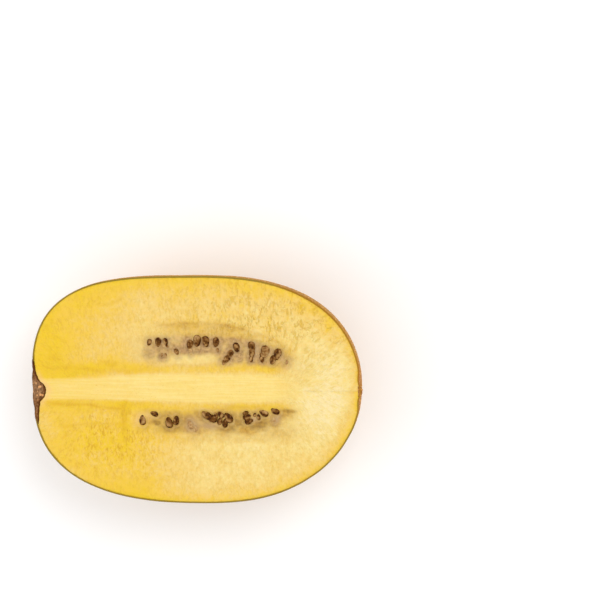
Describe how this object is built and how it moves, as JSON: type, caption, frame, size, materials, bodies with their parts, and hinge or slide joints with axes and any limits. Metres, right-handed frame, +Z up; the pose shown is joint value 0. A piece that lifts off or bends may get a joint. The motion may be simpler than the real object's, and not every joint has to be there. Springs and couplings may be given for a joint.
{
  "type": "golden kiwi fruit half",
  "caption": "Golden kiwi fruit cut in half lengthwise, lying on its thin-skinned back with the cut face up: golden flesh, pale core, seed rows and a woody stem scar.",
  "frame": {"origin": "on the ground under the middle of the half's bounding box, in the flattened spot of the back that it rests on", "axes": "+X along the fruit from the stem end to the blossom end, +Y across the cut face, +Z up, out of the cut face"},
  "size_m": [0.072, 0.0494, 0.0245],
  "materials": {
    "skin": "satin thin golden-brown fruit skin with fine pale raised dots",
    "flesh": "moist satin golden fruit flesh, fine fibres running outwards",
    "core": "moist satin pale fibrous core",
    "seeds": "glossy dark brown seeds in soft translucent tissue",
    "stem": "dry, rough, dark woody scar"
  },
  "bodies": {
    "root": {"skin": "skin", "flesh": "flesh", "core": "core", "seed_row_upper": "seeds", "seed_row_lower": "seeds", "stem_button": "stem"}
  },
  "joints": []
}
